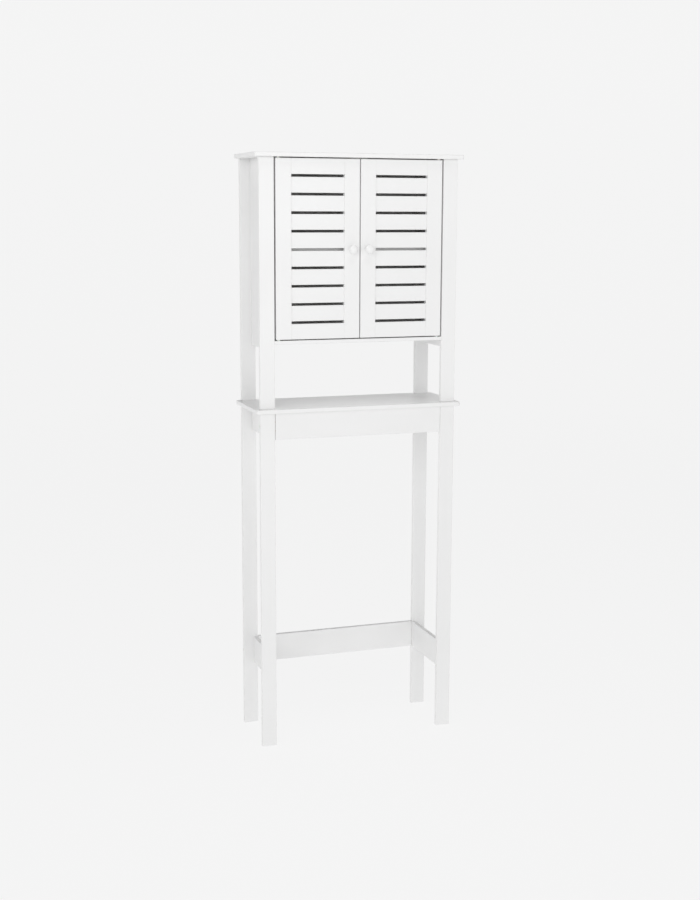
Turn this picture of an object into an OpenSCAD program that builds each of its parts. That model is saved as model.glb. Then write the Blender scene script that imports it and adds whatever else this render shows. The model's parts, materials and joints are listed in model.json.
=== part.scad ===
// Over-the-toilet storage rack: an open frame that stands over a toilet, a middle shelf, and a
// cabinet with one inner shelf behind two slatted doors that turn on pivot pins.
// Millimetres. +X to the right, +Y to the wall, +Z up. The origin is on the floor, under the
// middle of the rack's outline.

/* [Frame] */
// Width over the legs
frame_w = 588; // [500:2:720]
// Depth over the legs
frame_d = 218; // [180:1:300]
// Length of the lower legs, up to the middle shelf
lower_leg_l = 981; // [800:1:1200]
// Length of the upper legs, from the middle shelf to the top
upper_leg_l = 695; // [570:1:900]
// Thickness of the legs, top, middle shelf, side panels, aprons and rails
board_t = 12; // [10:0.2:16]
// Width of a leg
leg_w = 43; // [35:0.2:54]
// How far the top and the middle shelf stand out in front of the legs
front_overhang = 15; // [0:1:24]
// How far they stand out past the legs on each side
side_overhang = 14; // [0:1:30]
// Corner radius of the top and the middle shelf
corner_r = 6; // [2:1:14]
// Height of the front and side aprons under the middle shelf
apron_h = 76; // [50:1:120]
// Height of the lower rails
rail_h = 80; // [50:1:120]
// Height of the lower rails above the floor
rail_z = 190; // [100:1:400]

/* [Cabinet] */
// Height of the cabinet, from the underside of its floor to the underside of the top
cabinet_h = 514; // [420:1:630]
// Thickness of the cabinet floor
floor_t = 10; // [8:0.5:14]
// How far the side panels reach down past the cabinet floor
side_drop = 19; // [0:1:40]
// Thickness of the back panel
back_t = 4; // [3:0.5:6]
// Width of the back panel's seat in each back leg
back_seat_w = 6; // [4:0.5:12]
// Thickness of the inner shelf
inner_shelf_t = 12; // [9:0.5:16]
// Free depth between the doors and the inner shelf's front edge
shelf_setback = 7.5; // [6:0.5:20]

/* [Doors] */
// Thickness of a door's stiles and rails
door_t = 15; // [12:0.5:18]
// Width of a door stile
stile_w = 45; // [36:0.5:60]
// Height of a door's top and bottom rails
door_rail_h = 43; // [34:0.5:60]
// Height of the open slot between two slats
slot_h = 7.5; // [5:0.5:12]
// Thickness of a slat
slat_t = 9; // [6:0.5:10]
// How far slats and door rails reach into the groove of a stile
tongue_l = 6; // [4:0.5:10]
// Gap between a door and the leg on its hinge side
hinge_gap = 4.5; // [3:0.5:6]
// Gap between the two doors
meeting_gap = 3; // [2:0.5:5]
// Gap above and below a door
end_gap = 3; // [2:0.5:5]
// Distance from a door's hinge edge to its pivot
pivot_in = 9; // [7:0.5:12]

/* [Hardware] */
// Diameter of a knob
knob_d = 25; // [18:1:34]
// How far a knob stands out from its door
knob_reach = 23; // [20:1:32]
// Diameter of a knob's foot
knob_foot_d = 13; // [11:1:16]
// Diameter of a knob screw
knob_screw_d = 4; // [3:0.5:5]
// Diameter of a pivot pin
pivot_d = 5; // [4:0.5:6]
// Length of a pivot pin inside the door
pivot_in_door = 20; // [12:1:28]
// Depth of a pivot bush in the top or the cabinet floor
bush_l = 7; // [5:0.5:7]
// Outer diameter of a pivot bush
bush_d = 8; // [7.5:0.5:10]
// Outer diameter of a bush's collar
collar_d = 10; // [9:0.5:12]
// Diameter of a wooden dowel
peg_d = 6; // [5:0.5:7]
// Length of a wooden dowel
peg_l = 24; // [20:1:30]
// Depth of a wooden dowel in the face of a board
peg_shallow = 8; // [5:0.5:8.5]
// Diameter of the screwed pins that join the upper legs, the middle shelf and the lower legs
leg_pin_d = 6; // [5:0.5:7]
// Diameter of a frame screw
frame_screw_d = 5; // [4:0.5:6]
// Length of a frame screw inside an apron or rail
frame_screw_grip = 30; // [20:1:45]
// Diameter of a frame screw's head
frame_head_d = 8; // [7:0.5:9]
// Width of the double magnetic catch
catch_w = 56; // [46:1:70]
// Depth of the catch
catch_d = 14; // [12:1:20]
// Height of the catch
catch_h = 16; // [14:1:20]

/* [Fits] */
// Radial clearance of a pivot pin in its bush
running_gap = 0.05; // [0.02:0.01:0.1]
// Radial clearance around dowels, screws, pins and bushes in their holes
hole_gap = 0.1; // [0.05:0.05:0.2]
// Clearance of tongues in their grooves and of the back panel in its seats
groove_gap = 0.2; // [0.1:0.1:0.4]
// Space between a door and the collars it turns on
collar_gap = 0.4; // [0.3:0.1:0.6]
// Space between the catch's magnets and the strikes on the doors
catch_gap = 0.5; // [0.3:0.1:1]

/* [Hidden] */
slat_count = 8;
DOOR_PARTS = ["hinge_stile", "meeting_stile", "top_rail", "bottom_rail", "knob", "knob_screw",
    "pivot_pins", "strike"];
LEGS = ["front_left", "front_right", "back_left", "back_right"];
$fn = 48;

paint = [0.95, 0.95, 0.94];
shade = [0.9, 0.9, 0.89];
steel = [0.7, 0.71, 0.73];
nylon = [0.93, 0.93, 0.91];
beech = [0.82, 0.68, 0.5];
ferrite = [0.2, 0.2, 0.21];

// Places in width
half_w = frame_w / 2;
inner_x = half_w - leg_w;
leg_x = half_w - leg_w / 2;
side_x = inner_x + board_t / 2;
door_out = inner_x - hinge_gap;
door_in = meeting_gap / 2;
pivot_x = door_out - pivot_in;
knob_x = door_in + stile_w / 2;
slat_low = door_in + stile_w;
slat_high = door_out - stile_w;

// Places in depth
front_y = (max(front_overhang, knob_reach) - frame_d) / 2;
back_y = front_y + frame_d;
side_front = front_y + board_t;
side_back = back_y - board_t;
leg_front_y = front_y + board_t / 2;
leg_back_y = back_y - board_t / 2;
door_y = front_y + door_t / 2;
door_back = front_y + door_t;
panel_front = back_y - back_t;
slat_y = door_y - slat_t / 2;

// Places in height
shelf_z = lower_leg_l;
shelf_top = shelf_z + board_t;
top_z = shelf_top + upper_leg_l;
cabinet_z = top_z - cabinet_h;
floor_top = cabinet_z + floor_t;
side_z = cabinet_z - side_drop;
door_z = floor_top + end_gap;
door_top = top_z - end_gap;
slat_zone = door_top - door_z - 2 * door_rail_h;
slat_w = (slat_zone - (slat_count + 1) * slot_h) / slat_count;
inner_shelf_z = (door_z + door_top - inner_shelf_t) / 2;
knob_z = (door_z + door_top) / 2;
apron_z = shelf_z - apron_h;

// Sizes that follow from others
leg_pin_depth = min(30, apron_h / 2 - 8);
screw_head_h = 3;
frame_screw_l = leg_w - screw_head_h + frame_screw_grip;
knob_head_h = 2.4;
knob_head_d = 2 * knob_screw_d;
knob_thread = 11;
collar_h = end_gap - collar_gap;
pivot_l = pivot_in_door + end_gap + bush_l - 1;
pin_tab_l = 9;
pin_tab_w = 8;
pin_tab_h = 6;
pin_shaft_d = 5;
pin_shaft_depth = 8;
strike_t = 1.2;
strike_w = 14;
strike_h = 10;
strike_stem_d = 3;
strike_stem_l = 8;
magnet_w = 12;
magnet_h = 8;
magnet_d = 5;
magnet_x = 15;
catch_front = door_back + strike_t + catch_gap;
magnet_z = top_z - catch_h + 2 + magnet_h / 2;
catch_stem_d = 6;
catch_stem_l = 8;
cut = 1;

// A box between its lowest and highest corners
module block(low, high) {
    translate(low)
        cube(high - low);
}

// Draws its children on the left, as the mirror image of the right
module mirrored() {
    mirror([1, 0, 0])
        children();
}

// Draws its children on both sides
module both_sides() {
    children();
    mirrored()
        children();
}

// A round bar along +Z turned by `turn`, from `at`
module bar(at, turn, d, h) {
    translate(at)
        rotate(turn)
            cylinder(d = d, h = h);
}

// A dowel whose joint is at `at`, with its deep end along +Z turned by `turn`
module peg(at, turn, gap = 0, shallow = peg_shallow) {
    translate(at)
        rotate(turn)
            translate([0, 0, -shallow - gap])
                cylinder(d = peg_d + 2 * gap, h = peg_l + 2 * gap);
}

// Dowels that join a cabinet side panel to its front and back legs
module side_panel_pegs(gap = 0) {
    for (share = [1 / 8, 1 / 2, 7 / 8]) {
        z = side_z + share * (top_z - side_z);
        peg([side_x, side_front, z], [-90, 0, 0], gap);
        peg([side_x, side_back, z], [90, 0, 0], gap, min(peg_shallow, board_t - back_t - 1));
    }
}

// Dowels that join a side apron and a side rail to their legs
module side_rail_pegs(gap = 0) {
    for (share = [1 / 6, 5 / 6], piece = [[apron_z, apron_h], [rail_z, rail_h]]) {
        z = piece[0] + share * piece[1];
        peg([side_x, side_front, z], [-90, 0, 0], gap);
        peg([side_x, side_back, z], [90, 0, 0], gap);
    }
}

// Dowels that join the front apron to a front leg and the back rail to a back leg
module cross_pegs(gap = 0) {
    for (share = [1 / 3, 2 / 3]) {
        peg([inner_x, leg_front_y, apron_z + share * apron_h], [0, -90, 0], gap);
        peg([inner_x, leg_back_y, rail_z + share * rail_h], [0, -90, 0], gap);
    }
}

// Dowels that join the top to the upper legs and to a side panel
module top_pegs(gap = 0) {
    for (y = [leg_front_y, leg_back_y])
        peg([leg_x, y, top_z], [180, 0, 0], gap);
    for (share = [1 / 4, 3 / 4])
        peg([side_x, side_front + share * (side_back - side_front), top_z], [180, 0, 0], gap);
}

// Dowels that join the cabinet floor to a side panel
module floor_pegs(gap = 0) {
    for (share = [1 / 4, 3 / 4])
        peg([inner_x, side_front + share * (side_back - side_front), cabinet_z + floor_t / 2],
            [0, -90, 0], gap);
}

// Screwed pins through the middle shelf into the upper and lower legs
module leg_pin_bars(gap = 0) {
    for (y = [leg_front_y, leg_back_y])
        bar([leg_x, y, shelf_z - leg_pin_depth - gap], [0, 0, 0], leg_pin_d + 2 * gap,
            2 * leg_pin_depth + board_t + 2 * gap);
}

// Long screws through the legs into the ends of the front apron and the back rail
module frame_screw_bars(gap = 0) {
    for (place = [[leg_front_y, apron_z + apron_h / 2], [leg_back_y, rail_z + rail_h / 2]]) {
        outer = [half_w - (gap > 0 ? 0 : 1), place[0], place[1]];
        inner = [half_w - screw_head_h, place[0], place[1]];
        bar(outer, [0, -90, 0], frame_head_d + 2 * gap, outer[0] - inner[0] + gap);
        bar(inner, [0, -90, 0], frame_screw_d + 2 * gap, frame_screw_l + gap);
    }
}

// The outline of the top and the middle shelf, with round corners
module slab_outline() {
    x = half_w + side_overhang - corner_r;
    y_low = front_y - front_overhang + corner_r;
    y_high = back_y - corner_r;
    for (sx = [-x, x], y = [y_low, y_high])
        translate([sx, y])
            circle(r = corner_r);
    translate([-x - corner_r, y_low])
        square([2 * (x + corner_r), y_high - y_low]);
    translate([-x, y_low - corner_r])
        square([2 * x, y_high - y_low + 2 * corner_r]);
}

module top_panel() {
    color(paint)
        difference() {
            translate([0, 0, top_z])
                linear_extrude(board_t)
                    slab_outline();
            both_sides() {
                top_pegs(hole_gap);
                bar([pivot_x, door_y, top_z - cut], [0, 0, 0], bush_d + 2 * hole_gap, bush_l + cut);
                bar([catch_w / 4, catch_front + catch_d / 2, top_z - cut], [0, 0, 0],
                    catch_stem_d + 2 * hole_gap, catch_stem_l + hole_gap + cut);
            }
        }
}

module middle_shelf() {
    color(paint)
        difference() {
            translate([0, 0, shelf_z])
                linear_extrude(board_t)
                    slab_outline();
            both_sides()
                leg_pin_bars(hole_gap);
        }
}

// The right upper leg with its front face at y
module upper_leg(y) {
    color(paint)
        difference() {
            block([inner_x, y, shelf_top], [half_w, y + board_t, top_z]);
            side_panel_pegs(hole_gap);
            top_pegs(hole_gap);
            leg_pin_bars(hole_gap);
            back_panel_seat();
        }
}

// The right lower leg with its front face at y
module lower_leg(y) {
    color(paint)
        difference() {
            block([inner_x, y, 0], [half_w, y + board_t, shelf_z]);
            side_rail_pegs(hole_gap);
            cross_pegs(hole_gap);
            leg_pin_bars(hole_gap);
            frame_screw_bars(hole_gap);
        }
}

module cabinet_side() {
    color(paint)
        difference() {
            block([inner_x, side_front, side_z], [inner_x + board_t, side_back, top_z]);
            side_panel_pegs(hole_gap);
            top_pegs(hole_gap);
            floor_pegs(hole_gap);
            shelf_pin_shafts(hole_gap);
        }
}

// The seat of the back panel in the right back leg
module back_panel_seat() {
    block([inner_x - cut, panel_front, cabinet_z - groove_gap],
        [inner_x + back_seat_w + groove_gap, back_y + cut, top_z + cut]);
}

module cabinet_floor() {
    color(paint)
        difference() {
            block([-inner_x, front_y, cabinet_z], [inner_x, panel_front, floor_top]);
            both_sides() {
                floor_pegs(hole_gap);
                bar([pivot_x, door_y, floor_top + cut], [180, 0, 0], bush_d + 2 * hole_gap, bush_l + cut);
            }
        }
}

module back_panel() {
    x = inner_x + back_seat_w;
    color(shade)
        block([-x, panel_front, cabinet_z], [x, back_y, top_z]);
}

module inner_shelf() {
    x = inner_x - 5 * groove_gap;
    color(paint)
        block([-x, door_back + shelf_setback, inner_shelf_z],
            [x, panel_front - 5 * groove_gap, inner_shelf_z + inner_shelf_t]);
}

// Round ends of the two shelf pins of the right side panel
module shelf_pin_shafts(gap = 0) {
    shelf_front = door_back + shelf_setback;
    for (share = [1 / 5, 4 / 5])
        bar([inner_x + pin_shaft_depth + gap, shelf_front + share * (panel_front - shelf_front),
            inner_shelf_z - pin_tab_h / 2], [0, -90, 0], pin_shaft_d + 2 * gap, pin_shaft_depth + gap + cut);
}

module shelf_pins() {
    shelf_front = door_back + shelf_setback;
    color(steel)
        both_sides() {
            shelf_pin_shafts();
            for (share = [1 / 5, 4 / 5]) {
                y = shelf_front + share * (panel_front - shelf_front);
                block([inner_x - pin_tab_l, y - pin_tab_w / 2, inner_shelf_z - pin_tab_h],
                    [inner_x, y + pin_tab_w / 2, inner_shelf_z]);
            }
        }
}

module front_apron() {
    color(paint)
        difference() {
            block([-inner_x, front_y, apron_z], [inner_x, front_y + board_t, shelf_z]);
            both_sides() {
                cross_pegs(hole_gap);
                frame_screw_bars(hole_gap);
            }
        }
}

module back_rail() {
    color(paint)
        difference() {
            block([-inner_x, back_y - board_t, rail_z], [inner_x, back_y, rail_z + rail_h]);
            both_sides() {
                cross_pegs(hole_gap);
                frame_screw_bars(hole_gap);
            }
        }
}

// The right side apron or side rail, from z up to z + h
module side_rail(z, h) {
    color(paint)
        difference() {
            block([inner_x, side_front, z], [inner_x + board_t, side_back, z + h]);
            side_rail_pegs(hole_gap);
        }
}

// The groove in a stile's inner edge, from x_low to x_high
module stile_groove(x_low, x_high) {
    block([x_low, slat_y - groove_gap / 2, door_z - cut],
        [x_high, slat_y + slat_t + groove_gap / 2, door_top + cut]);
}

module hinge_stile() {
    color(paint)
        difference() {
            block([slat_high, front_y, door_z], [door_out, door_back, door_top]);
            stile_groove(slat_high - cut, slat_high + tongue_l + groove_gap);
            for (end = [[door_z, 0], [door_top, 180]])
                bar([pivot_x, door_y, end[0]], [end[1], 0, 0], pivot_d + 2 * hole_gap,
                    pivot_in_door + hole_gap);
        }
}

module meeting_stile() {
    color(paint)
        difference() {
            block([door_in, front_y, door_z], [slat_low, door_back, door_top]);
            stile_groove(slat_low - tongue_l - groove_gap, slat_low + cut);
            knob_screw_shape(hole_gap);
            bar([magnet_x, door_back + cut, magnet_z], [90, 0, 0], strike_stem_d + 2 * hole_gap,
                strike_stem_l + hole_gap + cut);
        }
}

// A door rail from z up, with a tongue at each end
module door_rail(z) {
    color(paint) {
        block([slat_low, front_y, z], [slat_high, door_back, z + door_rail_h]);
        block([slat_low - tongue_l, slat_y, z], [slat_high + tongue_l, slat_y + slat_t, z + door_rail_h]);
    }
}

// Slat number i, counted from the top
module slat(i) {
    z = door_top - door_rail_h - i * (slat_w + slot_h);
    color(paint)
        block([slat_low - tongue_l, slat_y, z], [slat_high + tongue_l, slat_y + slat_t, z + slat_w]);
}

// Half of a knob's outline: radius against distance from the door
function knob_outline() = let (
    foot = knob_foot_d / 2,
    waist = foot - 1.5,
    r = knob_d / 2,
    rim = knob_reach * 0.62,
    dome = knob_reach - rim,
    under = knob_reach * 0.3
) concat(
    [[0, 0], [foot, 0], [foot, 1], [waist, 3], [waist, rim - under]],
    [for (a = [-70:14:70]) [
        waist + (r - waist) * cos(a),
        rim + (a < 0 ? under : dome * 0.45) * sin(a)
    ]],
    [[knob_d * 0.22, knob_reach - 0.5], [knob_d * 0.12, knob_reach], [0, knob_reach]]
);

module knob() {
    color(paint)
        difference() {
            translate([knob_x, front_y, knob_z])
                rotate([90, 0, 0])
                    rotate_extrude()
                        polygon(knob_outline());
            knob_screw_shape(hole_gap);
        }
}

// The screw that holds a knob, from behind the stile, with its head recessed
module knob_screw_shape(gap = 0) {
    out = gap > 0 ? cut : 0;
    bar([knob_x, door_back + out, knob_z], [90, 0, 0], knob_head_d + 2 * gap, knob_head_h + out);
    bar([knob_x, door_back, knob_z], [90, 0, 0], knob_screw_d + 2 * gap, door_t + knob_thread + gap);
}

module knob_screw() {
    color(steel)
        knob_screw_shape();
}

module pivot_pins() {
    color(steel) {
        bar([pivot_x, door_y, door_z + pivot_in_door], [180, 0, 0], pivot_d, pivot_l);
        bar([pivot_x, door_y, door_top - pivot_in_door], [0, 0, 0], pivot_d, pivot_l);
    }
}

// A pivot bush with its collar on the face at z, its sleeve along +Z turned by `turn`
module bush(z, turn) {
    translate([pivot_x, door_y, z])
        rotate([turn, 0, 0])
            difference() {
                union() {
                    cylinder(d = bush_d, h = bush_l);
                    translate([0, 0, -collar_h])
                        cylinder(d = collar_d, h = collar_h);
                }
                translate([0, 0, -collar_h - cut])
                    cylinder(d = pivot_d + 2 * running_gap, h = collar_h + bush_l + 2 * cut);
            }
}

module pivot_bushes() {
    color(nylon)
        both_sides() {
            bush(top_z, 0);
            bush(floor_top, 180);
        }
}

module strike() {
    color(steel) {
        block([magnet_x - strike_w / 2, door_back, magnet_z - strike_h / 2],
            [magnet_x + strike_w / 2, door_back + strike_t, magnet_z + strike_h / 2]);
        bar([magnet_x, door_back, magnet_z], [90, 0, 0], strike_stem_d, strike_stem_l);
    }
}

// The two magnets of the catch, one behind each strike
module magnet_blocks(gap = 0) {
    both_sides()
        block([magnet_x - magnet_w / 2 - gap, catch_front - (gap > 0 ? cut : 0), magnet_z - magnet_h / 2 - gap],
            [magnet_x + magnet_w / 2 + gap, catch_front + magnet_d + gap, magnet_z + magnet_h / 2 + gap]);
}

module catch_housing() {
    color(nylon)
        difference() {
            union() {
                block([-catch_w / 2, catch_front, top_z - catch_h], [catch_w / 2, catch_front + catch_d, top_z]);
                both_sides()
                    bar([catch_w / 4, catch_front + catch_d / 2, top_z], [0, 0, 0], catch_stem_d, catch_stem_l);
            }
            magnet_blocks(hole_gap);
        }
}

module catch_magnets() {
    color(ferrite)
        magnet_blocks();
}

module leg_pins() {
    color(steel)
        both_sides()
            leg_pin_bars();
}

module frame_screws() {
    color(steel)
        both_sides()
            frame_screw_bars();
}

module wood_dowels() {
    color(beech)
        both_sides() {
            side_panel_pegs();
            side_rail_pegs();
            cross_pegs();
            top_pegs();
            floor_pegs();
        }
}

top_panel();
middle_shelf();
mirrored() upper_leg(front_y);  // upper_leg_front_left
upper_leg(front_y);  // upper_leg_front_right
mirrored() upper_leg(side_back);  // upper_leg_back_left
upper_leg(side_back);  // upper_leg_back_right
mirrored() lower_leg(front_y);  // lower_leg_front_left
lower_leg(front_y);  // lower_leg_front_right
mirrored() lower_leg(side_back);  // lower_leg_back_left
lower_leg(side_back);  // lower_leg_back_right
mirrored() cabinet_side();  // cabinet_side_left
cabinet_side();  // cabinet_side_right
cabinet_floor();
back_panel();
inner_shelf();
front_apron();
mirrored() side_rail(apron_z, apron_h);  // side_apron_left
side_rail(apron_z, apron_h);  // side_apron_right
back_rail();
mirrored() side_rail(rail_z, rail_h);  // side_rail_left
side_rail(rail_z, rail_h);  // side_rail_right
mirrored() hinge_stile();  // left_hinge_stile
mirrored() meeting_stile();  // left_meeting_stile
mirrored() door_rail(door_top - door_rail_h);  // left_top_rail
mirrored() door_rail(door_z);  // left_bottom_rail
mirrored() knob();  // left_knob
mirrored() knob_screw();  // left_knob_screw
mirrored() pivot_pins();  // left_pivot_pins
mirrored() strike();  // left_strike
hinge_stile();  // right_hinge_stile
meeting_stile();  // right_meeting_stile
door_rail(door_top - door_rail_h);  // right_top_rail
door_rail(door_z);  // right_bottom_rail
knob();  // right_knob
knob_screw();  // right_knob_screw
pivot_pins();  // right_pivot_pins
strike();  // right_strike
for (i = [1:slat_count]) {
    mirrored() slat(i);
    slat(i);
}
catch_housing();
catch_magnets();
shelf_pins();
pivot_bushes();
leg_pins();
wood_dowels();
frame_screws();
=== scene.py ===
"""Over-the-toilet storage rack: painted boards with rounded edges, turned knobs and door hardware,
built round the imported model, on a plain pale floor."""

import json
import math

import bmesh
import bpy
from mathutils import Euler, Matrix, Vector

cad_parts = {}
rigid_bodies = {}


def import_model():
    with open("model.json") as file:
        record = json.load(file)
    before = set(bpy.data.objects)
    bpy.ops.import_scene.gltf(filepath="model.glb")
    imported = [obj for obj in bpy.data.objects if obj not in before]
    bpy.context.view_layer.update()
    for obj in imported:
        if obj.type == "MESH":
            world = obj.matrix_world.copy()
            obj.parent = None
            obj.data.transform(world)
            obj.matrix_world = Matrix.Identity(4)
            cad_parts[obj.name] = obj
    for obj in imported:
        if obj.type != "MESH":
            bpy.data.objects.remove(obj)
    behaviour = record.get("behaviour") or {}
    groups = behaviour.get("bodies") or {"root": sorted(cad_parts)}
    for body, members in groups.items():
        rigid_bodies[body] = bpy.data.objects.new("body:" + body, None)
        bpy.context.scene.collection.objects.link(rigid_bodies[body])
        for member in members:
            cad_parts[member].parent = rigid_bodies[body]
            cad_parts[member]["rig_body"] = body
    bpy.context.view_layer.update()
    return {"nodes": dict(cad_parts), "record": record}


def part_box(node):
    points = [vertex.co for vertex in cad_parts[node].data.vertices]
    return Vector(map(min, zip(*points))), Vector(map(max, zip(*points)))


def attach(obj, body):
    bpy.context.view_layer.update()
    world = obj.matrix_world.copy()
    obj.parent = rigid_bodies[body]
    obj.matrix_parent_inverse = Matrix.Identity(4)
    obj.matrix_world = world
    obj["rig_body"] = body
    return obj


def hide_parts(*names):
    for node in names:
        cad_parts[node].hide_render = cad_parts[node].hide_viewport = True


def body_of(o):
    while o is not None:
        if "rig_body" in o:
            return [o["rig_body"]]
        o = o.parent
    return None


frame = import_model()

SCENE = bpy.context.scene
NODES = frame["nodes"]
SLOT_OF = {part["node"]: part["material_slot"] for part in frame["record"]["subparts"]}
BODY_OF = {name: body_of(obj)[0] for name, obj in NODES.items()}
SIGNS = {"left": -1, "right": 1}
MM = 0.001


# ---------------------------------------------------------------- materials


class Shader:
    """A node material, built by short calls."""

    def __init__(self, name):
        self.material = bpy.data.materials.new(name)
        self.material.use_nodes = True
        self.tree = self.material.node_tree
        self.bsdf = self.tree.nodes["Principled BSDF"]
        self.coords = self.node("ShaderNodeTexCoord").outputs["Object"]

    def node(self, kind, **settings):
        made = self.tree.nodes.new(kind)
        for key, value in settings.items():
            setattr(made, key, value)
        return made

    def link(self, source, target):
        self.tree.links.new(source, target)

    def feed(self, **sources):
        """Links sources to the shader's sockets, named with _ for a space."""
        for key, source in sources.items():
            self.link(source, self.bsdf.inputs[key.replace("_", " ")])

    def set(self, **values):
        """Sets the shader's own sockets, named with _ for a space."""
        for key, value in values.items():
            self.bsdf.inputs[key.replace("_", " ")].default_value = value

    def noise(self, scale, detail=2.0, stretch=(1, 1, 1)):
        """Noise with `scale` cells to the metre, closer along the axes that `stretch` scales."""
        mapping = self.node("ShaderNodeMapping")
        mapping.inputs["Scale"].default_value = stretch
        self.link(self.coords, mapping.inputs["Vector"])
        noise = self.node("ShaderNodeTexNoise")
        noise.inputs["Scale"].default_value = scale
        noise.inputs["Detail"].default_value = detail
        self.link(mapping.outputs["Vector"], noise.inputs["Vector"])
        return noise.outputs["Fac"]

    def spread(self, source, low, high, from_low=0.3, from_high=0.7):
        """The source, mapped from from_low .. from_high to low .. high."""
        ranged = self.node("ShaderNodeMapRange")
        limits = {"From Min": from_low, "From Max": from_high, "To Min": low, "To Max": high}
        for key, value in limits.items():
            ranged.inputs[key].default_value = value
        self.link(source, ranged.inputs["Value"])
        return ranged.outputs["Result"]

    def blend_colour(self, factor, first, second):
        mix = self.node("ShaderNodeMix", data_type="RGBA")
        self.link(factor, mix.inputs["Factor"])
        mix.inputs["A"].default_value = (*first, 1)
        mix.inputs["B"].default_value = (*second, 1)
        return mix.outputs["Result"]

    def bump(self, height, distance, under=None):
        """A height as bump, `distance` metres deep, over another bump."""
        bump = self.node("ShaderNodeBump")
        bump.inputs["Distance"].default_value = distance
        self.link(height, bump.inputs["Height"])
        if under is not None:
            self.link(under, bump.inputs["Normal"])
        return bump.outputs["Normal"]


def paint_material():
    """Satin white lacquer on fibreboard: faintly clouded, with the orange peel of a spray gun.
    A roughness map from 0.27 to 0.37 left small dark marks; this one stays between 0.285 and 0.33."""
    s = Shader("satin_white_paint")
    clouds = s.spread(s.noise(5, 3), 0, 1)
    s.feed(
        Base_Color=s.blend_colour(clouds, (0.868, 0.868, 0.866), (0.888, 0.888, 0.887)),
        Roughness=s.spread(s.noise(40, 4), 0.285, 0.33),
        Normal=s.bump(s.noise(650, 2), 0.01 * MM, s.bump(s.noise(60, 2), 0.03 * MM)),
    )
    return s.material


def worn_edge_material():
    """The same lacquer where it is thin, on a rounded edge: greyer, uneven and a little rubbed."""
    s = Shader("thin_paint_on_edges")
    rubbed = s.spread(s.noise(28, 5), 0, 1, 0.48, 0.72)
    s.feed(
        Base_Color=s.blend_colour(rubbed, (0.86, 0.86, 0.857), (0.79, 0.785, 0.775)),
        Roughness=s.spread(s.noise(220, 4), 0.3, 0.48),
        Normal=s.bump(s.noise(900, 3), 0.03 * MM),
    )
    return s.material


def back_board_material():
    """White-painted hardboard: matt, with the faint pressed screen of its rough side."""
    s = Shader("painted_hardboard")
    screen = s.node("ShaderNodeTexVoronoi", distance="CHEBYCHEV")
    screen.inputs["Scale"].default_value = 450
    screen.inputs["Randomness"].default_value = 0.1
    s.link(s.coords, screen.inputs["Vector"])
    clouds = s.spread(s.noise(9, 4), 0, 1)
    s.feed(
        Base_Color=s.blend_colour(clouds, (0.80, 0.80, 0.79), (0.84, 0.84, 0.83)),
        Roughness=s.spread(s.noise(90, 4), 0.45, 0.62),
        Normal=s.bump(screen.outputs["Distance"], 0.06 * MM, s.bump(s.noise(25, 3), 0.15 * MM)),
    )
    return s.material


def steel_material():
    """Zinc-plated steel: bright, with a fine spangle and faint drawing marks."""
    s = Shader("zinc_plated_steel")
    s.set(Metallic=1.0)
    spangle = s.spread(s.noise(700, 3), 0, 1)
    s.feed(
        Base_Color=s.blend_colour(spangle, (0.50, 0.51, 0.53), (0.68, 0.69, 0.70)),
        Roughness=s.spread(s.noise(350, 4), 0.29, 0.42),
        Normal=s.bump(s.noise(2200, 2, (1, 1, 0.1)), 0.01 * MM),
    )
    return s.material


def nylon_material():
    """White moulded nylon: slightly translucent, with a spark-eroded grain."""
    s = Shader("white_moulded_nylon")
    s.set(Subsurface_Weight=0.15, Subsurface_Scale=2 * MM)
    clouds = s.spread(s.noise(80, 2), 0, 1)
    s.feed(
        Base_Color=s.blend_colour(clouds, (0.80, 0.80, 0.77), (0.84, 0.84, 0.81)),
        Roughness=s.spread(s.noise(600, 3), 0.35, 0.5),
        Normal=s.bump(s.noise(2500, 2), 0.01 * MM),
    )
    return s.material


def ferrite_material():
    """Sintered magnet: dark grey and gritty."""
    s = Shader("ferrite_magnet")
    grit = s.spread(s.noise(900, 4), 0, 1)
    s.feed(
        Base_Color=s.blend_colour(grit, (0.03, 0.03, 0.033), (0.07, 0.07, 0.072)),
        Roughness=s.spread(s.noise(1500, 3), 0.45, 0.7),
        Normal=s.bump(s.noise(1800, 4), 0.03 * MM),
    )
    return s.material


def beech_material():
    """Beech dowels: long pores and flecks along the grain."""
    s = Shader("beech_dowel")
    grain = s.spread(s.noise(500, 4, (1, 1, 0.15)), 0, 1)
    s.feed(
        Base_Color=s.blend_colour(grain, (0.62, 0.43, 0.26), (0.48, 0.31, 0.17)),
        Roughness=s.spread(grain, 0.55, 0.75, 0, 1),
        Normal=s.bump(grain, 0.05 * MM),
    )
    return s.material


PAINT = paint_material()
WORN_EDGE = worn_edge_material()
MATERIALS = {
    "painted_board": PAINT,
    "painted_knob": PAINT,
    "back_board": back_board_material(),
    "zinc_steel": steel_material(),
    "white_nylon": nylon_material(),
    "ferrite": ferrite_material(),
    "beech": beech_material(),
}


# ---------------------------------------------------------------- mesh helpers


def mesh_object(name, bm):
    """A smooth-shaded scene object made from a bmesh."""
    bmesh.ops.recalc_face_normals(bm, faces=bm.faces)
    for face in bm.faces:
        face.smooth = True
    mesh = bpy.data.meshes.new(name)
    bm.to_mesh(mesh)
    bm.free()
    obj = bpy.data.objects.new(name, mesh)
    SCENE.collection.objects.link(obj)
    return obj


def bridge(bm, first, second):
    """Faces between two rings, either of which may be one point."""
    count = max(len(first), len(second))
    for i in range(count):
        pairs = ((first, i - 1), (first, i), (second, i), (second, i - 1))
        corners = [ring[place % len(ring)] for ring, place in pairs]
        bm.faces.new(list(dict.fromkeys(corners)))


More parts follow.
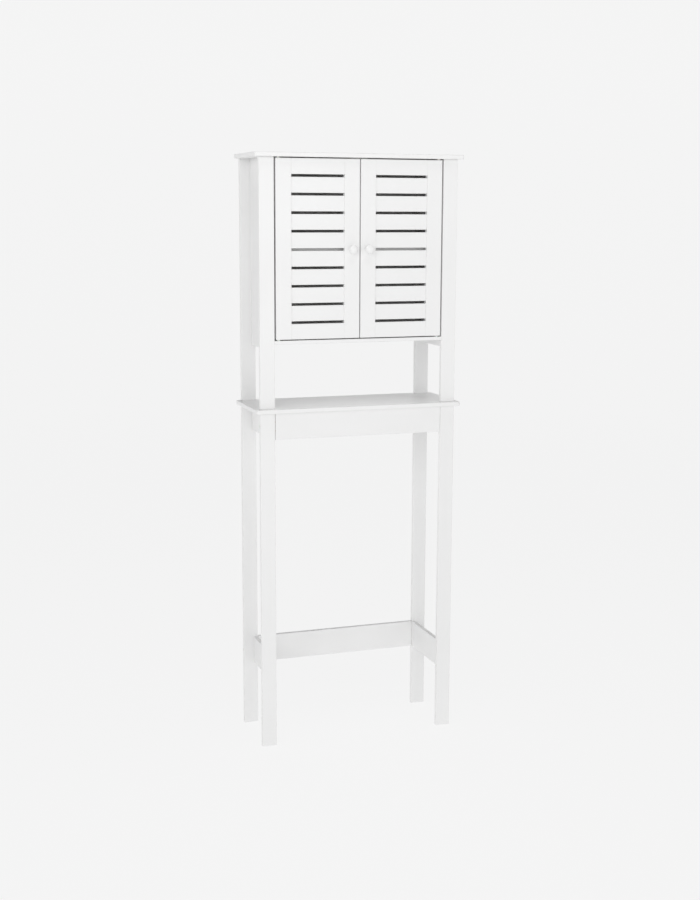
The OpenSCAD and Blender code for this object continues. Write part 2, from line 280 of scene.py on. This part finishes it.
def add_prism(bm, outline, low, high, axis=2):
    """Draws a closed outline out along an axis. Its points lie in the other two axes, in XYZ order."""
    rings = []
    for level in (low, high):
        points = [list(point) for point in outline]
        for point in points:
            point.insert(axis, level)
        rings.append([bm.verts.new(point) for point in points])
    bridge(bm, *rings)
    for ring in rings:
        bm.faces.new(ring)


def add_box(bm, low, high):
    add_prism(bm, rectangle(low, high), low[2], high[2])


def add_turned(bm, profile, sides, place=Matrix()):
    """Turns (radius, height) points round Z, in so many sides, and places them with a matrix."""
    rings = []
    for radius, height in profile:
        turns = range(sides) if radius > 0 else range(1)
        angles = [2 * math.pi * turn / sides for turn in turns]
        points = [Vector((radius * math.cos(a), radius * math.sin(a), height)) for a in angles]
        rings.append([bm.verts.new(place @ point) for point in points])
    for pair in zip(rings, rings[1:]):
        bridge(bm, *pair)


def rectangle(low, high):
    return [(low[0], low[1]), (high[0], low[1]), (high[0], high[1]), (low[0], high[1])]


def arc(centre, radius, start, end, steps=8):
    """Points round a centre, between two angles in degrees."""
    angles = [math.radians(start + (end - start) * step / steps) for step in range(steps + 1)]
    return [(centre[0] + radius * math.cos(a), centre[1] + radius * math.sin(a)) for a in angles]


def rounded_rectangle(low, high, radius):
    """The outline of a rectangle with round corners."""
    inner_low = (low[0] + radius, low[1] + radius)
    inner_high = (high[0] - radius, high[1] - radius)
    points = []
    for quarter, (x, y) in enumerate(rectangle(inner_low, inner_high)):
        points += arc((x, y), radius, 180 + 90 * quarter, 270 + 90 * quarter)
    return points


def cut_away(obj, low, high):
    """Takes the box from low to high out of a mesh object."""
    bm = bmesh.new()
    add_box(bm, low, high)
    cutter = mesh_object("cutter", bm)
    boolean = obj.modifiers.new("cut", "BOOLEAN")
    boolean.object = cutter
    boolean.solver = "EXACT"
    boolean.use_self = True
    depsgraph = bpy.context.evaluated_depsgraph_get()
    cut = bpy.data.meshes.new_from_object(obj.evaluated_get(depsgraph))
    obj.modifiers.clear()
    obj.data = cut
    bpy.data.objects.remove(cutter)


def round_edges(obj, radius, segments=3):
    """Rounds every sharp edge; the faces between stay flat."""
    bevel = obj.modifiers.new("rounded_edges", "BEVEL")
    bevel.width = radius
    bevel.segments = segments
    bevel.limit_method = "ANGLE"
    bevel.angle_limit = math.radians(40)
    shading = obj.modifiers.new("flat_faces", "WEIGHTED_NORMAL")
    shading.keep_sharp = True
    shading.weight = 100
    return bevel


def stand_for(obj, node):
    """Gives a piece the place, body and finish of its CAD node."""
    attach(obj, BODY_OF[node])
    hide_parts(node)
    if not obj.data.materials:
        obj.data.materials.append(MATERIALS[SLOT_OF[node]])


def board(node, radius, outline=None, cut=None, seams=(0, 0)):
    """A board in the place of a CAD node: its box, or an XY outline drawn out along Z.
    `cut` is a box to take out, `seams` the open joints left at its two ends along X."""
    low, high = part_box(node)
    low, high = low + Vector((seams[0], 0, 0)), high - Vector((seams[1], 0, 0))
    bm = bmesh.new()
    if outline is None:
        add_box(bm, low, high)
    else:
        add_prism(bm, outline, low.z, high.z)
    obj = mesh_object("finished_" + node, bm)
    if cut is not None:
        cut_away(obj, *cut)
    stand_for(obj, node)
    bevel = round_edges(obj, radius)
    if SLOT_OF[node] == "painted_board":
        obj.data.materials.append(WORN_EDGE)
        bevel.material = 1
    return obj


# ---------------------------------------------------------------- the frame and the cabinet

LEG_EDGE = 1.0 * MM
SLAB_EDGE = 1.5 * MM
SLAB_CORNER = 6 * MM
PANEL_EDGE = 1.0 * MM
BACK_PANEL_EDGE = 0.4 * MM
SEAT_GAP = 0.2 * MM
APRON_SEAMS = (1.1 * MM, 0.4 * MM)
BEYOND = 5 * MM
PANEL_LOW, PANEL_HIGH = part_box("back_panel")
BACK_LEG_LOW, BACK_LEG_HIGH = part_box("upper_leg_back_right")


def make_slabs():
    """The top and the middle shelf, with round corners and soft noses."""
    for node in ("top_panel", "middle_shelf"):
        low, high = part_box(node)
        board(node, SLAB_EDGE, rounded_rectangle(low, high, SLAB_CORNER))


def make_legs():
    """Eight legs; the upper back ones have a seat for the back panel."""
    for side, sign in SIGNS.items():
        board(f"upper_leg_front_{side}", LEG_EDGE)
        board(f"lower_leg_front_{side}", LEG_EDGE)
        board(f"lower_leg_back_{side}", LEG_EDGE)
        seat_ends = sorted((sign * (BACK_LEG_LOW.x - BEYOND), sign * (PANEL_HIGH.x + SEAT_GAP)))
        low = (seat_ends[0], PANEL_LOW.y, PANEL_LOW.z - SEAT_GAP)
        high = (seat_ends[1], PANEL_HIGH.y + BEYOND, BACK_LEG_HIGH.z + BEYOND)
        board(f"upper_leg_back_{side}", PANEL_EDGE, cut=(low, high))


def make_panels():
    """Aprons, rails, cabinet sides, floor, inner shelf and back panel."""
    for side in SIGNS:
        for node in (f"side_apron_{side}", f"side_rail_{side}", f"cabinet_side_{side}"):
            board(node, PANEL_EDGE)
    board("front_apron", PANEL_EDGE, seams=APRON_SEAMS)
    for node in ("back_rail", "cabinet_floor", "inner_shelf"):
        board(node, PANEL_EDGE)
    board("back_panel", BACK_PANEL_EDGE)


# ---------------------------------------------------------------- the doors

DOOR_EDGE = 0.6 * MM
SLAT_EDGE = 0.8 * MM
GROOVE_GAP = 0.1 * MM
STILE_LOW, STILE_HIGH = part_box("right_hinge_stile")
MEETING_LOW, MEETING_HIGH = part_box("right_meeting_stile")
SLAT_LOW, SLAT_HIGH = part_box("right_slat_1")


def mirrored(outline, sign):
    return [(sign * x, y) for x, y in outline]


def stile_outline(edge_x, groove_x, far_x):
    """A stile's section, with the groove for tongues and slats in the edge at edge_x."""
    front, back = STILE_LOW.y, STILE_HIGH.y
    groove_front, groove_back = SLAT_LOW.y - GROOVE_GAP, SLAT_HIGH.y + GROOVE_GAP
    return [
        (edge_x, front), (edge_x, groove_front), (groove_x, groove_front), (groove_x, groove_back),
        (edge_x, groove_back), (edge_x, back), (far_x, back), (far_x, front),
    ]


def door_rail_outline():
    """A door rail's section across its length, with a tongue at each end."""
    front, back = STILE_LOW.y, STILE_HIGH.y
    tongue_front, tongue_back = SLAT_LOW.y, SLAT_HIGH.y
    near, far = MEETING_HIGH.x, STILE_LOW.x
    return [
        (near, front), (far, front), (far, tongue_front), (SLAT_HIGH.x, tongue_front),
        (SLAT_HIGH.x, tongue_back), (far, tongue_back), (far, back), (near, back),
        (near, tongue_back), (SLAT_LOW.x, tongue_back), (SLAT_LOW.x, tongue_front), (near, tongue_front),
    ]


def make_doors():
    groove = 2 * GROOVE_GAP
    hinge = stile_outline(STILE_LOW.x, SLAT_HIGH.x + groove, STILE_HIGH.x)
    meeting = stile_outline(MEETING_HIGH.x, SLAT_LOW.x - groove, MEETING_LOW.x)
    for side, sign in SIGNS.items():
        board(f"{side}_hinge_stile", DOOR_EDGE, mirrored(hinge, sign))
        board(f"{side}_meeting_stile", DOOR_EDGE, mirrored(meeting, sign))
        for rail in ("top", "bottom"):
            board(f"{side}_{rail}_rail", DOOR_EDGE, mirrored(door_rail_outline(), sign))
        for node in NODES:
            if node.startswith(f"{side}_slat_"):
                board(node, SLAT_EDGE)


# ---------------------------------------------------------------- knobs and hardware

DOOR_BACK = STILE_HIGH.y
STEEL = MATERIALS["zinc_steel"]


def along(axis, place):
    """A matrix that turns +Z to an axis and moves the origin to a place."""
    return Matrix.Translation(place) @ Vector(axis).to_track_quat("Z", "Y").to_matrix().to_4x4()


def quarter_turn(first, last, steps):
    """Angles of a quarter turn cut into steps, from step `first` to before step `last`."""
    return [math.pi / 2 * step / steps for step in range(first, last)]


def knob_profile(reach, head, foot):
    """A turned knob: foot, hollow neck and a low domed head, as (radius, height) points."""
    neck, neck_top = foot * 0.72, reach * 0.36
    middle = reach * 0.64
    chamfer, foot_top = 0.4 * MM, 1.2 * MM
    start = [(0, 0), (foot - chamfer, 0), (foot, chamfer), (foot, foot_top)]
    hollow = [
        (neck + (foot - neck) * (1 - math.sin(a)), foot_top + (neck_top - foot_top) * (1 - math.cos(a)))
        for a in quarter_turn(1, 9, 8)]
    under = [
        (neck + (head - neck) * math.sin(a), middle - (middle - neck_top) * math.cos(a))
        for a in quarter_turn(1, 11, 10)]
    dome = [
        (head * math.cos(a), middle + (reach - middle) * math.sin(a))
        for a in quarter_turn(1, 16, 16)]
    return start + hollow + under + dome + [(0, reach)]


def make_knobs():
    foot_share = 0.52
    for side in SIGNS:
        low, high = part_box(f"{side}_knob")
        head = (high.x - low.x) / 2
        place = Vector(((low.x + high.x) / 2, high.y, (low.z + high.z) / 2))
        profile = knob_profile(high.y - low.y, head, head * foot_share)
        bm = bmesh.new()
        add_turned(bm, profile, 64, along((0, -1, 0), place))
        stand_for(mesh_object(f"turned_{side}_knob", bm), f"{side}_knob")


def pan_head(radius, height):
    """The outline of a low domed screw head, from its seat to its middle."""
    rim = 0.35
    curve = [
        (radius * math.cos(a), height * (rim + (1 - rim) * math.sin(a)))
        for a in quarter_turn(0, 8, 8)]
    return [(0, 0), (radius, 0)] + curve + [(0, height)]


def make_knob_screws():
    """Pan-head screws with a cross recess, from behind each meeting stile."""
    head_radius, head_height = 4.2 * MM, 2.2 * MM
    shank, arm, half_slot, recess = 2 * MM, 2.3 * MM, 0.45 * MM, 1.3 * MM
    for side in SIGNS:
        low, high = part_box(f"{side}_knob_screw")
        middle = Vector(((low.x + high.x) / 2, DOOR_BACK, (low.z + high.z) / 2))
        profile = [(0, low.y - DOOR_BACK), (shank, low.y - DOOR_BACK + shank), (shank, 0)]
        bm = bmesh.new()
        profile += pan_head(head_radius, head_height)[1:]
        add_turned(bm, profile, 32, along((0, 1, 0), middle))
        screw = mesh_object(f"{side}_pan_head_screw", bm)
        top = DOOR_BACK + head_height
        for reach_x, reach_z in ((arm, half_slot), (half_slot, arm)):
            cut_away(
                screw,
                (middle.x - reach_x, top - recess, middle.z - reach_z),
                (middle.x + reach_x, top + BEYOND, middle.z + reach_z))
        stand_for(screw, f"{side}_knob_screw")
        screw.modifiers.new("flat_faces", "WEIGHTED_NORMAL").keep_sharp = True


def make_strikes():
    """Round-cornered steel plates, each with a domed rivet in its middle."""
    corner, proud, edge = 2 * MM, 0.3 * MM, 0.3 * MM
    stem, head = 1.5 * MM, 3.4 * MM
    seat_drop, shoulder_drop = 0.5 * MM, 0.15 * MM
    for side in SIGNS:
        low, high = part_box(f"{side}_strike")
        outline = rounded_rectangle((low.x, low.z), (high.x, high.z), corner)
        bm = bmesh.new()
        add_prism(bm, outline, DOOR_BACK, high.y - proud, axis=1)
        middle = Vector(((low.x + high.x) / 2, low.y, (low.z + high.z) / 2))
        rivet = high.y - low.y
        seat = rivet - seat_drop
        profile = [(0, 0), (stem, 0), (stem, seat)]
        dome = [(head, seat), (head * 0.8, rivet - shoulder_drop), (head * 0.45, rivet), (0, rivet)]
        strike = mesh_object(f"{side}_strike_plate", bm)
        stand_for(strike, f"{side}_strike")
        round_edges(strike, edge, segments=2)
        bm = bmesh.new()
        add_turned(bm, profile + dome, 32, along((0, 1, 0), middle))
        rivet_piece = mesh_object(f"{side}_strike_rivet", bm)
        rivet_piece.data.materials.append(STEEL)
        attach(rivet_piece, BODY_OF[f"{side}_strike"])


def make_nails():
    """Flat-headed nails that hold the back panel in its seats and on the cabinet floor."""
    head_radius, head_height = 2.2 * MM, 0.5 * MM
    inset, above_edge, pitch = 3 * MM, 5 * MM, 125 * MM
    first_row, last_row = PANEL_LOW.z + 3 * inset, PANEL_HIGH.z - 4 * inset
    spots = []
    rows = round((PANEL_HIGH.z - PANEL_LOW.z) / pitch)
    for row in range(rows + 1):
        share = row / rows
        z = first_row * (1 - share) + last_row * share
        spots += [(sign * (PANEL_HIGH.x - inset), z) for sign in (-1, 1)]
    columns = round(2 * PANEL_HIGH.x / pitch)
    bottom_z = PANEL_LOW.z + above_edge
    spots += [(PANEL_HIGH.x * (2 * column / columns - 1), bottom_z) for column in range(1, columns)]
    bm = bmesh.new()
    for x, z in spots:
        place = along((0, 1, 0), Vector((x, PANEL_HIGH.y, z)))
        add_turned(bm, pan_head(head_radius, head_height), 20, place)
    nails = mesh_object("back_panel_nails", bm)
    nails.data.materials.append(STEEL)
    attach(nails, BODY_OF["back_panel"])


def make_screw_caps():
    """Thin white caps over the long screws in the legs' outer edges."""
    joints = {"front_apron": "lower_leg_front_right", "back_rail": "lower_leg_back_right"}
    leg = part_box("lower_leg_front_right")[1]
    radius, height = 5 * MM, 0.6 * MM
    draft, bevel = 0.1 * MM, 0.6 * MM
    shoulder = height * 0.6
    profile = [(0, 0), (radius, 0), (radius - draft, shoulder), (radius - bevel, height), (0, height)]
    bm = bmesh.new()
    for sign in SIGNS.values():
        for z_node, leg_node in joints.items():
            z = sum(corner.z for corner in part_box(z_node)) / 2
            y = sum(corner.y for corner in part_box(leg_node)) / 2
            add_turned(bm, profile, 40, along((sign, 0, 0), Vector((sign * leg.x, y, z))))
    caps = mesh_object("screw_cover_caps", bm)
    caps.data.materials.append(MATERIALS["white_nylon"])
    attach(caps, BODY_OF["frame_screws"])


def finish_cad_hardware():
    """The CAD's own pieces keep their shape; the catch and shelf pins get rounded edges."""
    edges = {"catch_housing": 0.8 * MM, "catch_magnets": 0.3 * MM, "shelf_pins": 0.5 * MM}
    weld_distance = 0.01 * MM
    for name, obj in NODES.items():
        obj.data.materials.clear()
        obj.data.materials.append(MATERIALS[SLOT_OF[name]])
        if name in edges:
            weld = obj.modifiers.new("weld", "WELD")
            weld.merge_threshold = weld_distance
            round_edges(obj, edges[name], segments=2)


# ---------------------------------------------------------------- stage, light, camera


def make_stage():
    """A round pale floor that curves up into a low wall all the way round."""
    s = Shader("studio_sweep")
    grey, glow = 0.08, 0.86
    s.set(Base_Color=(grey, grey, grey, 1), Roughness=0.9, Specular_IOR_Level=0.0)
    s.set(Emission_Color=(1, 1, 1, 1), Emission_Strength=glow)
    s.material.cycles.emission_sampling = "NONE"
    floor_radius, bend, wall_top = 7.0, 3.0, 5.5
    curve = arc((floor_radius, bend), bend, -90, 0, steps=12)
    bm = bmesh.new()
    add_turned(bm, [(0, 0)] + curve + [(floor_radius + bend, wall_top)], 64)
    sweep = mesh_object("studio_sweep", bm)
    sweep.data.materials.append(s.material)


def softbox(name, azimuth, elevation, distance, size, power):
    """A square light aimed at the rack's middle, placed by its direction from the rack in degrees."""
    target = Vector((0, 0, 1.15))
    turn, lift = math.radians(azimuth), math.radians(elevation)
    away = Vector((math.sin(turn) * math.cos(lift), -math.cos(turn) * math.cos(lift), math.sin(lift)))
    light = bpy.data.lights.new(name, "AREA")
    light.shape = "SQUARE"
    light.size = size
    light.energy = power
    obj = bpy.data.objects.new(name, light)
    SCENE.collection.objects.link(obj)
    obj.location = target + away * distance
    obj.rotation_euler = (-away).to_track_quat("-Z", "Y").to_euler()
    obj.visible_camera = False


def make_lights():
    world = bpy.data.worlds.new("studio")
    world.use_nodes = True
    background = world.node_tree.nodes["Background"]
    background.inputs["Color"].default_value = (1, 1, 1, 1)
    background.inputs["Strength"].default_value = 0.105
    SCENE.world = world
    softbox("key", azimuth=-50, elevation=16, distance=5.0, size=1.8, power=29)
    softbox("high_fill", azimuth=-30, elevation=30, distance=5.0, size=1.8, power=21)
    softbox("front_fill", azimuth=0, elevation=4, distance=5.0, size=1.8, power=16)
    softbox("top_fill", azimuth=0, elevation=72, distance=2.6, size=2.0, power=23)


def make_camera():
    """The viewpoint of a standing person, a little to the rack's left."""
    data = bpy.data.cameras.new("camera")
    data.sensor_width = 36
    data.lens = 55.88
    data.clip_end = 60
    camera = bpy.data.objects.new("camera", data)
    SCENE.collection.objects.link(camera)
    front_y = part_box("upper_leg_front_right")[0].y
    aside, away, eye_height = -1.3163, 3.7437, 1.5435
    yaw, pitch, roll = math.radians(18.99), math.radians(-9.728), math.radians(0.216)
    level = Euler((math.pi / 2 + pitch, 0, -yaw)).to_matrix()
    camera.location = (aside, front_y - away, eye_height)
    camera.rotation_mode = "XYZ"
    camera.rotation_euler = (level @ Matrix.Rotation(roll, 3, "Z")).to_euler()
    SCENE.camera = camera


SCENE.view_settings.view_transform = "Standard"
SCENE.view_settings.look = "None"
make_stage()
make_lights()
make_camera()
finish_cad_hardware()
make_slabs()
make_legs()
make_panels()
make_doors()
make_knobs()
make_knob_screws()
make_strikes()
make_nails()
make_screw_caps()
